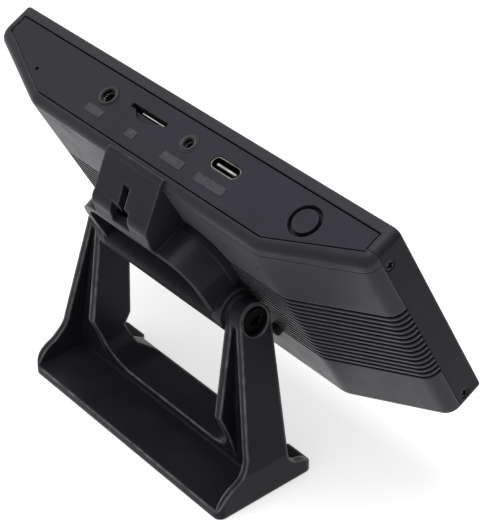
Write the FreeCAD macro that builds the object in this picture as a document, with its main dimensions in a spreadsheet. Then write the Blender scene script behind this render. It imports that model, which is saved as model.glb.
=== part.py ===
import FreeCAD, Part
import math
import operator
import os
import Sketcher

# A small flat display that tilts on a U-shaped desk stand.
# The stand is drawn in the part frame: +Z up, the screen faces -Y, the origin lies under the base.
# The display is drawn upright (x across, y from the screen to the back, z up from mid height)
# and then leaned back about the pivot.

SIZES = {
    # lean of the display and the pivot it turns on
    "tilt_angle": 28.1,
    "pivot_forward": 2.84,
    "pivot_height": 44.4,
    "pivot_set_back": 4.92,
    "pivot_fall": 32.75,
    # fits and cuts
    "overrun": 2,
    "fit": 0.05,
    "seam": 0.12,
    # case
    "case_width": 131,
    "case_height": 63,
    "case_depth": 20,
    "case_wall": 2.2,
    "side_reach": 2.88,
    "side_flat": 0.17,
    "shoulder_run": 25.5,
    "back_bend": 8,
    "edge_round": 2,
    "frame_depth": 7,
    "frame_round": 0.7,
    "cap_height": 3.6,
    # grooves round the back
    "groove_width": 0.95,
    "groove_depth": 0.8,
    "groove_pitch": 1.77,
    "groove_drop": 20.7,
    # pinholes in the back
    "pinhole_bore": 0.8,
    "pinhole_depth": 0.9,
    "pinhole_drop": 11.2,
    "pinhole_inset": 29.2,
    "pinhole_pitch": 10.4,
    # cover lens, display and its bracket
    "lens_margin": 2.5,
    "lens_thick": 1.1,
    "lens_sink": 0.1,
    "lens_round": 1.5,
    "view_end_margin": 6.5,
    "view_edge_margin": 4.5,
    "flange_thick": 1,
    "lcd_end_margin": 6.6,
    "lcd_edge_margin": 4,
    "lcd_thick": 1.2,
    "backlight_thick": 1.4,
    "bracket_lap": 0.25,
    "bracket_thick": 0.5,
    "bracket_rim": 7,
    # port panel
    "panel_thick": 1.6,
    "panel_sink": 0.1,
    "panel_gap": 0.4,
    "panel_front": 3.1,
    "panel_side": 7.7,
    "panel_rear_margin": 3,
    "panel_end_margin": 3.1,
    "panel_shoulder": 22.2,
    "ledge_width": 0.6,
    "label_thick": 0.12,
    "label_front": 12.5,
    "label_rear": 14.7,
    "aux_label_width": 5.9,
    "card_label_width": 3.1,
    "av_label_width": 7.2,
    "usb_label_width": 9.5,
    # places of the ports across the panel and back from the screen
    "mic_inset": 19.5,
    "mic_back": 12.5,
    "aux_across": 21.8,
    "aux_back": 8.8,
    "card_across": 8.02,
    "card_back": 7.5,
    "av_across": 7,
    "av_back": 8.3,
    "usb_across": 19.8,
    "usb_back": 8.45,
    "button_inset": 19.4,
    "button_back": 9.05,
    # main board and the screws that hold it
    "board_standoff": 5.9,
    "board_thick": 1.2,
    "board_end_margin": 14,
    "board_top_margin": 3.9,
    "board_foot_margin": 11.5,
    "board_screw_clear": 4.1,
    "board_screw_top_inset": 8.1,
    "board_screw_foot_inset": 4,
    "board_screw_shank": 2,
    "board_screw_head": 4,
    "board_screw_head_thick": 1.3,
    "board_screw_length": 5,
    "boss_width": 4.8,
    # jacks
    "jack_front_gap": 0.3,
    "jack_body_width": 6.2,
    "jack_body_height": 13,
    "jack_top_gap": 0.6,
    "jack_bore_depth": 12,
    "collar_rise": 0.1,
    "aux_collar": 5.4,
    "aux_bore": 3.5,
    "av_collar": 4.9,
    "av_bore": 2.5,
    # card reader
    "card_slot_width": 12.65,
    "card_slot_thick": 1.2,
    "card_slot_depth": 12,
    "card_body_width": 14,
    "card_front_gap": 0.7,
    "card_body_height": 14.4,
    "scoop_width": 8.8,
    "scoop_reach": 2,
    "scoop_depth": 1,
    # usb-c socket
    "usb_width": 8.94,
    "usb_thick": 3.26,
    "usb_wall": 0.3,
    "usb_sink": 0.2,
    "usb_depth": 6.2,
    "usb_floor": 1,
    "usb_gap": 0.12,
    "usb_foot_height": 3,
    "tongue_width": 6.7,
    "tongue_thick": 0.7,
    "tongue_sink": 0.6,
    # power button and switch
    "moat_width": 8.04,
    "button_width": 5.95,
    "button_rise": 0.05,
    "button_flange_width": 8.6,
    "button_flange_thick": 0.7,
    "button_stem_width": 2.4,
    "button_stem_length": 2.2,
    "button_travel": 0.6,
    "switch_width": 6,
    "switch_front_gap": 0.7,
    "switch_height": 3.6,
    "plunger_width": 2.6,
    "plunger_height": 1,
    # microphone, speaker and display cable
    "mic_bore": 1.1,
    "mic_width": 3.6,
    "mic_reach": 3,
    "mic_port": 0.5,
    "mic_margin": 0.45,
    "mic_thick": 1.5,
    "mic_bore_depth": 0.7,
    "speaker_width": 18,
    "speaker_thick": 4.2,
    "speaker_rise": 8.25,
    "speaker_rim": 1.5,
    "speaker_cone_depth": 1,
    "cable_width": 12,
    "cable_thick": 0.3,
    "cable_lap": 3,
    "cable_gap": 0.25,
    # screws at the ends of the case, and the tabs that they hold
    "side_screw_high_drop": 5.9,
    "side_screw_high_back": 5.6,
    "side_screw_low_rise": 3.8,
    "side_screw_low_back": 4.7,
    "side_recess": 2.8,
    "side_recess_depth": 1.1,
    "side_screw_head": 2.5,
    "side_screw_head_thick": 0.9,
    "side_screw_shank": 1.4,
    "tab_front": 2.6,
    "tab_back": 10.3,
    "tab_thick": 2.8,
    "tab_height": 3,
    "tab_gap": 0.1,
    "drive_width": 0.9,
    "drive_depth": 0.5,
    # rubber bumpers that meet the legs
    "bumper_set_out": 1,
    "bumper_fall": 12.75,
    "bumper_width": 3.2,
    "bumper_rise": 1.6,
    "bumper_round": 0.5,
    # tilt yoke
    "yoke_set_in": 3.6,
    "yoke_drop": 13.6,
    "yoke_round": 8.4,
    "yoke_foot_rise": 2.95,
    "yoke_depth": 9.6,
    "yoke_taper": 0.5,
    "yoke_mouth_drop": 13.8,
    "yoke_mouth_round": 8,
    "yoke_wall": 2,
    "yoke_plate": 2,
    "barrel_width": 11.4,
    "barrel_length": 46.4,
    "hood_width": 19.8,
    "hood_wall": 1.8,
    "hood_hollow_width": 12,
    "hood_floor": 0.4,
    "hood_rise": 0.2,
    "hood_lip_thick": 0.45,
    "hood_lip_angle": 80,
    "hood_knee_back": 7.3,
    "hood_knee_drop": 5.75,
    "hood_knee_round": 3.4,
    "hood_heel_back": 9.5,
    "hood_heel_drop": 8.9,
    "hood_tail_back": 10.2,
    "hood_tail_drop": 11.8,
    "slot_narrow_width": 2.4,
    "slot_narrow_back": 3.4,
    "slot_wide_width": 6.4,
    "slot_wide_back": 7.4,
    "slot_drop": 10.5,
    "yoke_screw_across": 16,
    "yoke_screw_rise": 12.25,
    "yoke_screw_fall": 1.75,
    "yoke_screw_shank": 2.2,
    "yoke_screw_head": 4.4,
    "yoke_screw_head_thick": 1.4,
    "yoke_screw_bite": 1.6,
    # pivot hardware
    "insert_width": 6,
    "insert_length": 8,
    "pivot_shank": 4,
    "pivot_shank_bite": 7,
    "pivot_head": 6.5,
    "pivot_head_thick": 1.3,
    "pivot_recess": 7.1,
    "pivot_seat_thick": 3.5,
    "pivot_drive_width": 3,
    "pivot_drive_depth": 0.8,
    "washer_width": 8.6,
    "washer_thick": 0.45,
    # stand
    "base_width": 74,
    "base_rear": 15.1,
    "base_front": 13.7,
    "base_middle_front": 12.3,
    "base_corner": 2,
    "base_lift": 0.2,
    "base_top": 2.3,
    "toe_width": 8.5,
    "toe_step": 1.2,
    "floor_top": 4.3,
    "floor_front": 11,
    "floor_rear": 0.3,
    "floor_round": 7.2,
    "leg_wall": 1.7,
    "leg_inner_wall": 1.95,
    "leg_bend_height": 9,
    "leg_thick": 4.2,
    "leg_top_width": 8.7,
    "leg_rear": 5.6,
    "leg_front": 5.8,
    "rear_flare_height": 14.2,
    "front_flare_height": 9.4,
    "leg_web_thick": 1.8,
    "leg_web_rear": 0.3,
    "trim_rear_high": 18,
    "trim_rear_high_place": 5.2,
    "trim_rear_low": 12.5,
    "trim_rear_low_place": 2.9,
    "trim_front_high": 16,
    "trim_front_high_place": 6.2,
    "trim_front_low": 13,
    "trim_front_low_place": 4.4,
    "trim_front_foot": 7,
    "trim_front_foot_place": 6.9,
    # rubber pad and steel weight under the base
    "pad_thick": 0.6,
    "pad_margin": 0.6,
    "pad_gap": 0.1,
    "weight_top": 1.45,
    "weight_margin": 2.7,
    "weight_bar_top": 3.3,
    "weight_bar_margin": 1.7,
    "weight_bar_front": 9.2,
    "weight_bar_rear": 0.9,
}
GROOVE_COUNT = 15

OPERATIONS = {"+": operator.add, "-": operator.sub, "*": operator.mul, "/": operator.truediv}


class Size:
    """A number together with the sheet expression that drives it."""

    def __init__(self, value, text):
        self.value = value
        self.text = text

    def __add__(self, other):
        return joined(self, "+", other)

    def __radd__(self, other):
        return joined(other, "+", self)

    def __sub__(self, other):
        return joined(self, "-", other)

    def __rsub__(self, other):
        return joined(other, "-", self)

    def __mul__(self, other):
        return joined(self, "*", other)

    def __rmul__(self, other):
        return joined(other, "*", self)

    def __truediv__(self, other):
        return joined(self, "/", other)

    def __neg__(self):
        return joined(0, "-", self)


def as_size(number):
    if isinstance(number, Size):
        return number
    return Size(number, "(%s)" % number)


def joined(left, sign, right):
    left = as_size(left)
    right = as_size(right)
    value = OPERATIONS[sign](left.value, right.value)
    return Size(value, "(%s %s %s)" % (left.text, sign, right.text))


def sine(angle):
    return Size(math.sin(math.radians(angle.value)), "sin(%s)" % angle.text)


def cosine(angle):
    return Size(math.cos(math.radians(angle.value)), "cos(%s)" % angle.text)


def tangent(angle):
    return Size(math.tan(math.radians(angle.value)), "tan(%s)" % angle.text)


def slope_of(rise, run):
    """Angle of a slope, in plain degrees."""
    ratio = rise / run
    return Size(math.degrees(math.atan(ratio.value)), "(atan(%s) / 1deg)" % ratio.text)


class Sizes:
    """Every driving dimension, read by its name."""


document = FreeCAD.newDocument("TiltingDisplay")
sheet = document.addObject("Spreadsheet::Sheet", "Sizes")
s = Sizes()
for row, (name, value) in enumerate(SIZES.items(), start=1):
    sheet.set("A%d" % row, name)
    sheet.set("B%d" % row, str(value))
    sheet.setAlias("B%d" % row, name)
    setattr(s, name, Size(value, "Sizes.%s" % name))
document.recompute()


# sketches and features

def bind(feature, name, size):
    feature.setExpression(name, as_size(size).text)


def vector(point):
    return FreeCAD.Vector(as_size(point[0]).value, as_size(point[1]).value, 0)


def new_body(label):
    body = document.addObject("PartDesign::Body", label)
    body.Label = label
    return body


def origin_feature(body, role):
    return [feature for feature in body.Origin.OriginFeatures if feature.Role == role][0]


def circle(across, up, width):
    return ("circle", across, up, width / 2)


def box(left, right, low, high):
    return [(left, low), (right, low), (right, high), (left, high)]


def rounded_box(left, right, low, high, radius):
    return [
        (left + radius, low),
        (right - radius, low, radius, 1),
        (right, low + radius),
        (right, high - radius, radius, 1),
        (right - radius, high),
        (left + radius, high, radius, 1),
        (left, high - radius),
        (left, low + radius, radius, 1),
    ]


def arc_between(start, stop, radius, turn):
    """The short arc from start to stop; turn is 1 for a left-hand bend and -1 for a right-hand one."""
    chord = stop - start
    middle = (start + stop) / 2
    height = math.sqrt(max(radius ** 2 - chord.Length ** 2 / 4, 0))
    side = FreeCAD.Vector(-chord.y, chord.x, 0).normalize()
    centre = middle + side * height * turn
    angles = [math.atan2(point.y - centre.y, point.x - centre.x) for point in (start, stop)]
    if turn < 0:
        angles.reverse()
    if angles[1] < angles[0]:
        angles[1] += 2 * math.pi
    return Part.ArcOfCircle(Part.Circle(centre, FreeCAD.Vector(0, 0, 1), radius), angles[0], angles[1])


def place_constraints(number, spot, point):
    """Constraints, each with its size, that hold a point of the sketch where it belongs."""
    held = []
    for kind, axis, size in (("DistanceX", -2, as_size(point[0])), ("DistanceY", -1, as_size(point[1]))):
        if size.value == 0:
            held.append((Sketcher.Constraint("PointOnObject", number, spot, axis), None))
        else:
            held.append((Sketcher.Constraint(kind, -1, 1, number, spot, size.value), size))
    return held


def draw_circle(sketch, loop):
    place = loop[1:3]
    radius = loop[3]
    shape = Part.Circle(vector(place), FreeCAD.Vector(0, 0, 1), radius.value)
    number = sketch.addGeometry(shape, False)
    held = place_constraints(number, 3, place)
    held.append((Sketcher.Constraint("Radius", number, radius.value), radius))
    return held


def draw_outline(sketch, loop):
    """Closed outline. A point that starts an arc also carries the radius and the turn."""
    held = []
    pieces = []
    for index, point in enumerate(loop):
        start = vector(point)
        stop = vector(loop[(index + 1) % len(loop)])
        if len(point) == 2:
            number = sketch.addGeometry(Part.LineSegment(start, stop), False)
            pieces.append((number, 1, 2))
        else:
            radius, turn = point[2:]
            number = sketch.addGeometry(arc_between(start, stop, radius.value, turn), False)
            pieces.append((number, 1, 2) if turn > 0 else (number, 2, 1))
            held.append((Sketcher.Constraint("Radius", number, radius.value), radius))
        held += place_constraints(number, pieces[-1][1], point)
    for index, (number, first, last) in enumerate(pieces):
        following = pieces[(index + 1) % len(pieces)]
        held.append((Sketcher.Constraint("Coincident", number, last, following[0], following[1]), None))
    return held


def draw_on(body, plane, level, loops):
    sketch = body.newObject("Sketcher::SketchObject", "Sketch")
    sketch.AttachmentSupport = [(origin_feature(body, plane + "_Plane"), "")]
    sketch.MapMode = "FlatFace"
    # the normal of the XZ plane points along -Y
    bind(sketch, "AttachmentOffset.Base.z", -level if plane == "XZ" else level)
    for loop in loops:
        held = draw_circle(sketch, loop) if loop[0] == "circle" else draw_outline(sketch, loop)
        numbers = sketch.addConstraint([constraint for constraint, size in held])
        for number, (constraint, size) in zip(numbers, held):
            if size is not None:
                bind(sketch, "Constraints[%d]" % number, size)
    return sketch


def add(body, plane, low, high, *loops):
    sketch = draw_on(body, plane, high if plane == "XZ" else low, loops)
    feature = body.newObject("PartDesign::Pad", "Pad")
    feature.Profile = sketch
    bind(feature, "Length", high - low)
    return feature


def cut(body, plane, low, high, *loops):
    sketch = draw_on(body, plane, low if plane == "XZ" else high, loops)
    feature = body.newObject("PartDesign::Pocket", "Pocket")
    feature.Profile = sketch
    bind(feature, "Length", high - low)
    return feature


def loft(body, kind, stations):
    """Loft between outlines that stand at given depths behind the screen."""
    sketches = [draw_on(body, "XZ", depth, [outline]) for depth, outline in stations]
    feature = body.newObject("PartDesign::" + kind, kind)
    feature.Profile = sketches[0]
    feature.Sections = sketches[1:]
    feature.Ruled = True
    return feature


def round_edges(body, radius, chosen):
    """Fillet the edges of the body for which chosen(box of the edge) is true."""
    document.recompute()
    base = body.Tip
    names = []
    for number, edge in enumerate(base.Shape.Edges, start=1):
        if chosen(edge.BoundBox):
            names.append("Edge%d" % number)
    feature = body.newObject("PartDesign::Fillet", "Fillet")
    feature.Base = (base, names)
    bind(feature, "Radius", radius)
    return feature


def near(value, size):
    return abs(value - as_size(size).value) < s.fit.value / 2


def span(side, inner, outer):
    """Range along X from an inner to an outer place on the side given as 1 or -1."""
    return (inner, outer) if side > 0 else (-outer, -inner)


# levels that several pieces share

half_width = s.case_width / 2
half_height = s.case_height / 2
inner_half_width = half_width - s.case_wall
inner_half_height = half_height - s.case_wall
back_inside = s.case_depth - s.case_wall
cap_bottom = half_height - s.cap_height
panel_top = half_height - s.panel_sink
panel_bottom = panel_top - s.panel_thick
roof_inside = half_height - s.case_wall
lens_half = half_width - s.lens_margin
lens_up = half_height - s.lens_margin
lcd_half = half_width - s.lcd_end_margin
lcd_up = half_height - s.lcd_edge_margin
bracket_half = lcd_half + s.bracket_lap
bracket_up = lcd_up + s.bracket_lap
flange_front = s.lens_sink + s.lens_thick + s.fit
flange_back = flange_front + s.flange_thick
lcd_front = flange_back + s.fit
backlight_front = lcd_front + s.lcd_thick + s.fit
bracket_front = backlight_front + s.backlight_thick + s.fit
bracket_back = bracket_front + s.bracket_thick
board_front = bracket_back + s.board_standoff
board_back = board_front + s.board_thick
board_half = half_width - s.board_end_margin
board_top = half_height - s.board_top_margin
board_bottom = s.board_foot_margin - half_height
pivot_depth = s.case_depth + s.pivot_set_back
pivot_level = half_height - s.pivot_fall
button_bottom = panel_bottom - s.fit - s.button_flange_thick
stem_end = button_bottom - s.button_stem_length
plunger_top = stem_end - s.button_travel - s.fit
mic_across = half_width - s.mic_inset
button_across = s.button_inset - half_width
seam_back = s.frame_depth + s.seam
side_depth = seam_back + s.side_reach
slope = slope_of(s.case_depth - side_depth, s.shoulder_run)
side_half_turn = (90 - slope) / 2
back_half_turn = slope / 2
side_bend = (s.side_reach - s.side_flat) / tangent(side_half_turn)
hood_top = half_height + s.hood_rise
yoke_width = s.barrel_length - s.yoke_set_in
yoke_top = half_height - s.yoke_drop
yoke_mouth_top = half_height - s.yoke_mouth_drop
leg_inner = s.barrel_length / 2 + s.washer_thick + s.fit
leg_outer_top = leg_inner + s.leg_thick
pivot_seat = leg_inner + s.pivot_seat_thick


def case_outline(inset, front):
    """Outline of the back of the case seen from above, drawn in from the outside by an inset."""
    side = half_width - inset
    side_corner = side_depth - inset * tangent(side_half_turn)
    side_run = (side_bend - inset) * tangent(side_half_turn)
    rear = s.case_depth - inset
    rear_corner = half_width - s.shoulder_run - inset * tangent(back_half_turn)
    rear_run = (s.back_bend - inset) * tangent(back_half_turn)
    bend_end = side - side_run * cosine(slope)
    bend_end_depth = side_corner + side_run * sine(slope)
    turn_start = rear_corner + rear_run * cosine(slope)
    turn_start_depth = rear - rear_run * sine(slope)
    return [
        (-side, front),
        (side, front),
        (side, side_corner - side_run, side_bend - inset, 1),
        (bend_end, bend_end_depth),
        (turn_start, turn_start_depth, s.back_bend - inset, 1),
        (rear_corner - rear_run, rear),
        (rear_run - rear_corner, rear, s.back_bend - inset, 1),
        (-turn_start, turn_start_depth),
        (-bend_end, bend_end_depth, side_bend - inset, 1),
        (-side, side_corner - side_run),
    ]


def panel_outline(inset):
    """Six-sided outline of the port panel, drawn in by an inset."""
    end = half_width - s.panel_end_margin
    side = end - inset
    rear = s.case_depth - s.panel_rear_margin
    panel_slope = slope_of(rear - s.panel_side, s.panel_shoulder)
    side_depth = s.panel_side - inset * tangent((90 - panel_slope) / 2)
    rear_half = end - s.panel_shoulder - inset * tangent(panel_slope / 2)
    return [
        (-side, s.panel_front + inset),
        (side, s.panel_front + inset),
        (side, side_depth),
        (rear_half, rear - inset),
        (-rear_half, rear - inset),
        (-side, side_depth),
    ]


def side_screw_places():
    return [
        (half_height - s.side_screw_high_drop, s.side_screw_high_back),
        (s.side_screw_low_rise - half_height, s.side_screw_low_back),
    ]


def board_screw_places():
    across = s.aux_across + (s.jack_body_width + s.board_screw_head) / 2 + s.board_screw_clear
    levels = (board_top - s.board_screw_top_inset, board_bottom + s.board_screw_foot_inset)
    return [(side * across, level) for side in (1, -1) for level in levels]


def yoke_screw_places():
    levels = (pivot_level + s.yoke_screw_rise, pivot_level - s.yoke_screw_fall)
    return [(side * s.yoke_screw_across, level) for side in (1, -1) for level in levels]


# case

def make_front_frame():
    body = new_body("front_frame")
    outside = rounded_box(-half_width, half_width, -half_height, half_height, s.edge_round)
    add(body, "XZ", as_size(0), s.frame_depth, outside)
    round_edges(body, s.frame_round, lambda edge: near(edge.YMin, 0) and near(edge.YMax, 0))
    seat_half = lens_half + s.fit
    seat_up = lens_up + s.fit
    seat = rounded_box(-seat_half, seat_half, -seat_up, seat_up, s.lens_round + s.fit)
    cut(body, "XZ", -s.overrun, flange_front, seat)
    view_half = half_width - s.view_end_margin
    view_up = half_height - s.view_edge_margin
    cut(body, "XZ", -s.overrun, s.frame_depth, box(-view_half, view_half, -view_up, view_up))
    inside = box(-inner_half_width, inner_half_width, -inner_half_height, inner_half_height)
    cut(body, "XZ", flange_back, s.frame_depth + s.overrun, inside)
    cut_panel_seat(body)
    for side in (1, -1):
        for level, back in side_screw_places():
            recess = span(side, half_width - s.side_recess_depth, half_width + s.overrun)
            cut(body, "YZ", recess[0], recess[1], circle(back, level, s.side_recess))
            hole = span(side, inner_half_width - s.overrun, half_width)
            cut(body, "YZ", hole[0], hole[1], circle(back, level, s.side_screw_shank + 2 * s.fit))
    return body


def cut_panel_seat(body):
    """Opening for the port panel, with the ledge that it rests on."""
    top = half_height + s.overrun
    cut(body, "XY", panel_bottom, top, panel_outline(-s.panel_gap))
    cut(body, "XY", roof_inside - s.overrun, top, panel_outline(s.ledge_width))


def make_top_cap():
    body = new_body("top_cap")
    add(body, "XY", cap_bottom, half_height, case_outline(as_size(0), seam_back))
    round_edges(
        body, s.edge_round,
        lambda edge: near(edge.ZMin, half_height) and not near(edge.YMax, seam_back))
    cut(body, "XY", cap_bottom - s.overrun, roof_inside, case_outline(s.case_wall, seam_back - s.overrun))
    cut_panel_seat(body)
    return body


def make_rear_cover():
    body = new_body("rear_cover")
    top = cap_bottom - s.seam
    add(body, "XY", -half_height, top, case_outline(as_size(0), seam_back))
    round_edges(
        body, s.edge_round,
        lambda edge: near(edge.ZMax, -half_height) and not near(edge.YMax, seam_back))
    cut(body, "XY", -inner_half_height, top + s.overrun, case_outline(s.case_wall, seam_back - s.overrun))
    cut_grooves(body)
    add_cover_tabs(body)
    for across, level in board_screw_places():
        add(body, "XZ", board_back + s.fit, back_inside + s.case_wall / 2,
            circle(across, level, s.boss_width))
    for across, level in board_screw_places():
        cut(body, "XZ", board_back - s.overrun, board_front + s.board_screw_length + s.fit,
            circle(across, level, s.board_screw_shank + 2 * s.fit))
    for across, level in yoke_screw_places():
        cut(body, "XZ", back_inside - s.overrun, s.case_depth + s.overrun,
            circle(across, level, s.yoke_screw_shank + 2 * s.fit))
    far_pinhole = s.pinhole_inset - half_width
    for across in (far_pinhole, far_pinhole + s.pinhole_pitch):
        cut(body, "XZ", s.case_depth - s.pinhole_depth, s.case_depth + s.overrun,
            circle(across, half_height - s.pinhole_drop, s.pinhole_bore))
    return body


def cut_grooves(body):
    """Level grooves that run round the back from one end of the frame to the other."""
    outer = box(
        -half_width - s.overrun, half_width + s.overrun,
        s.frame_depth - 2 * s.overrun, s.case_depth + s.overrun)
    inner = case_outline(s.groove_depth, s.frame_depth - s.overrun)
    level = half_height - s.groove_drop
    groove = cut(body, "XY", level - s.groove_width / 2, level + s.groove_width / 2, outer, inner)
    document.recompute()
    pattern = body.newObject("PartDesign::LinearPattern", "Grooves")
    pattern.Originals = [groove]
    pattern.Direction = (origin_feature(body, "Z_Axis"), [""])
    pattern.Reversed = True
    pattern.Mode = "Spacing"
    pattern.Occurrences = GROOVE_COUNT
    bind(pattern, "Offset", s.groove_pitch)
    body.Tip = pattern


def add_cover_tabs(body):
    """Tabs that reach forward inside the ends of the frame and take the side screws."""
    outer = inner_half_width - s.tab_gap
    for side in (1, -1):
        for level, back in side_screw_places():
            reach = span(side, outer - s.tab_thick, outer)
            low = level - s.tab_height / 2
            add(body, "YZ", reach[0], reach[1],
                box(s.tab_front, s.tab_back, low, low + s.tab_height))
    for side in (1, -1):
        for level, back in side_screw_places():
            hole = span(side, outer - s.tab_thick - s.overrun, outer + s.overrun / 4)
            cut(body, "YZ", hole[0], hole[1], circle(back, level, s.side_screw_shank + 2 * s.fit))


def make_port_panel():
    body = new_body("port_panel")
    add(body, "XY", panel_bottom, panel_top, panel_outline(as_size(0)))
    for across, width in (
            (s.aux_across, s.aux_label_width),
            (s.card_across, s.card_label_width),
            (-s.av_across, s.av_label_width),
            (-s.usb_across, s.usb_label_width)):
        add(body, "XY", panel_top, panel_top + s.label_thick,
            box(across - width / 2, across + width / 2, s.label_front, s.label_rear))
    low = panel_bottom - s.overrun
    top = panel_top + s.overrun
    cut(body, "XY", low, top, circle(mic_across, s.mic_back, s.mic_bore))
    cut(body, "XY", low, top, circle(s.aux_across, s.aux_back, s.aux_collar + 2 * s.fit))
    cut(body, "XY", low, top, circle(-s.av_across, s.av_back, s.av_collar + 2 * s.fit))
    cut(body, "XY", low, top, circle(button_across, s.button_back, s.moat_width))
    cut(body, "XY", low, top, card_slot_outline(as_size(0)))
    cut(body, "XY", low, top, usb_outline(s.usb_gap))
    scoop_half = s.scoop_width / 2
    scoop_front = s.card_back
    scoop_radius = (scoop_half * scoop_half + s.scoop_reach * s.scoop_reach) / (2 * s.scoop_reach)
    slot_rear = s.card_back + s.card_slot_thick / 2
    cut(body, "XY", panel_top - s.scoop_depth, top, [
        (s.card_across - scoop_half, scoop_front),
        (s.card_across + scoop_half, scoop_front),
        (s.card_across + scoop_half, slot_rear, scoop_radius, 1),
        (s.card_across, slot_rear + s.scoop_reach, scoop_radius, 1),
        (s.card_across - scoop_half, slot_rear),
    ])
    return body


def card_slot_outline(inset):
    return box(
        s.card_across - s.card_slot_width / 2 + inset, s.card_across + s.card_slot_width / 2 - inset,
        s.card_back - s.card_slot_thick / 2 + inset, s.card_back + s.card_slot_thick / 2 - inset)


def usb_outline(margin):
    """Oblong outline of the socket, grown by a margin; its ends are two quarter arcs each."""
    half = s.usb_width / 2 + margin
    radius = s.usb_thick / 2 + margin
    left = -s.usb_across - half
    right = -s.usb_across + half
    return [
        (left + radius, s.usb_back - radius),
        (right - radius, s.usb_back - radius, radius, 1),
        (right, s.usb_back, radius, 1),
        (right - radius, s.usb_back + radius),
        (left + radius, s.usb_back + radius, radius, 1),
        (left, s.usb_back, radius, 1),
    ]


def make_side_screws():
    body = new_body("side_screws")
    seat = half_width - s.side_recess_depth + s.fit
    head_end = seat + s.side_screw_head_thick
    shank_end = inner_half_width - s.tab_gap - s.tab_thick
    for side in (1, -1):
        for level, back in side_screw_places():
            head = span(side, seat, head_end)
            add(body, "YZ", head[0], head[1], circle(back, level, s.side_screw_head))
            shank = span(side, shank_end, seat)
            add(body, "YZ", shank[0], shank[1], circle(back, level, s.side_screw_shank))
    cut_drives(body, side_screw_places(), head_end)
    return body


def cut_drives(body, places, head_end):
    """Cross-shaped drive recess in the heads of the side screws."""
    arm = s.drive_width
    thin = s.drive_width / 3
    for side in (1, -1):
        for level, back in places:
            recess = span(side, head_end - s.drive_depth, head_end + s.overrun)
            cut(body, "YZ", recess[0], recess[1], box(back - arm, back + arm, level - thin, level + thin))
            cut(body, "YZ", recess[0], recess[1], box(back - thin, back + thin, level - arm, level + arm))


def make_rear_bumpers():
    body = new_body("rear_bumpers")
    top = s.case_depth + s.bumper_rise
    across = leg_inner + s.bumper_set_out
    for side in (1, -1):
        add(body, "XZ", s.case_depth, top, circle(side * across, pivot_level - s.bumper_fall, s.bumper_width))
    round_edges(body, s.bumper_round, lambda edge: near(edge.YMin, top))
    return body


# display

def make_cover_lens():
    body = new_body("cover_lens")
    add(body, "XZ", s.lens_sink, s.lens_sink + s.lens_thick,
        rounded_box(-lens_half, lens_half, -lens_up, lens_up, s.lens_round))
    return body


def make_lcd_panel():
    body = new_body("lcd_panel")
    add(body, "XZ", lcd_front, lcd_front + s.lcd_thick, box(-lcd_half, lcd_half, -lcd_up, lcd_up))
    return body


def make_backlight():
    body = new_body("backlight")
    add(body, "XZ", backlight_front, backlight_front + s.backlight_thick,
        box(-lcd_half, lcd_half, -lcd_up, lcd_up))
    return body


def make_panel_bracket():
    body = new_body("panel_bracket")
    outside = box(-bracket_half, bracket_half, -bracket_up, bracket_up)
    window_half = bracket_half - s.bracket_rim
    window_up = bracket_up - s.bracket_rim
    window = box(-window_half, window_half, -window_up, window_up)
    add(body, "XZ", bracket_front, bracket_back, outside, window)
    return body


def make_display_cable():
    """Flat ribbon that leaves the foot of the display and turns up to the front of the board."""
    body = new_body("display_cable")
    half = s.cable_width / 2
    top = -bracket_up - s.cable_gap
    rear = board_front - s.fit
    add(body, "YZ", -half, half, [
        (lcd_front, top - s.cable_thick),
        (rear, top - s.cable_thick),
        (rear, board_bottom + s.cable_lap),
        (rear - s.cable_thick, board_bottom + s.cable_lap),
        (rear - s.cable_thick, top),
        (lcd_front, top),
    ])
    return body


# electronics

def make_main_board():
    body = new_body("main_board")
    outline = box(-board_half, board_half, board_bottom, board_top)
    holes = [
        circle(across, level, s.board_screw_shank + 2 * s.fit)
        for across, level in board_screw_places()]
    add(body, "XZ", board_front, board_back, outline, *holes)
    return body


def make_board_screws():
    body = new_body("board_screws")
    seat = board_front - s.fit
    for across, level in board_screw_places():
        add(body, "XZ", seat - s.board_screw_head_thick, seat, circle(across, level, s.board_screw_head))
        add(body, "XZ", seat, board_front + s.board_screw_length, circle(across, level, s.board_screw_shank))
    return body


def make_jack(label, across, back, collar, bore):
    """Round jack: a body soldered to the board and a collar that fills the hole in the panel."""
    body = new_body(label)
    half = s.jack_body_width / 2
    shoulder = panel_bottom - s.jack_top_gap
    add(body, "XY", shoulder - s.jack_body_height, shoulder,
        box(across - half, across + half, bracket_back + s.jack_front_gap, board_front))
    top = panel_top + s.collar_rise
    add(body, "XY", shoulder, top, circle(across, back, collar))
    cut(body, "XY", top - s.jack_bore_depth, top + s.overrun, circle(across, back, bore))
    return body


def make_card_reader():
    body = new_body("card_reader")
    half = s.card_body_width / 2
    top = panel_bottom - s.fit
    add(body, "XY", top - s.card_body_height, top,
        box(s.card_across - half, s.card_across + half, bracket_back + s.card_front_gap, board_front))
    cut(body, "XY", top - s.card_slot_depth, top + s.overrun, card_slot_outline(s.fit))
    return body


def make_usb_c_shell():
    body = new_body("usb_c_shell")
    top = panel_top - s.usb_sink
    floor = top - s.usb_depth
    add(body, "XY", floor - s.usb_floor, top, usb_outline(as_size(0)))
    foot_half = s.usb_width / 2 - s.usb_thick / 2
    add(body, "XY", floor - s.usb_floor, floor - s.usb_floor + s.usb_foot_height,
        box(-s.usb_across - foot_half, -s.usb_across + foot_half, s.usb_back, board_front))
    cut(body, "XY", floor, top + s.overrun, usb_outline(-s.usb_wall))
    return body


def make_usb_c_tongue():
    body = new_body("usb_c_tongue")
    top = panel_top - s.usb_sink
    half = s.tongue_width / 2
    up = s.tongue_thick / 2
    add(body, "XY", top - s.usb_depth, top - s.tongue_sink,
        box(-s.usb_across - half, -s.usb_across + half, s.usb_back - up, s.usb_back + up))
    return body


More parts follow.
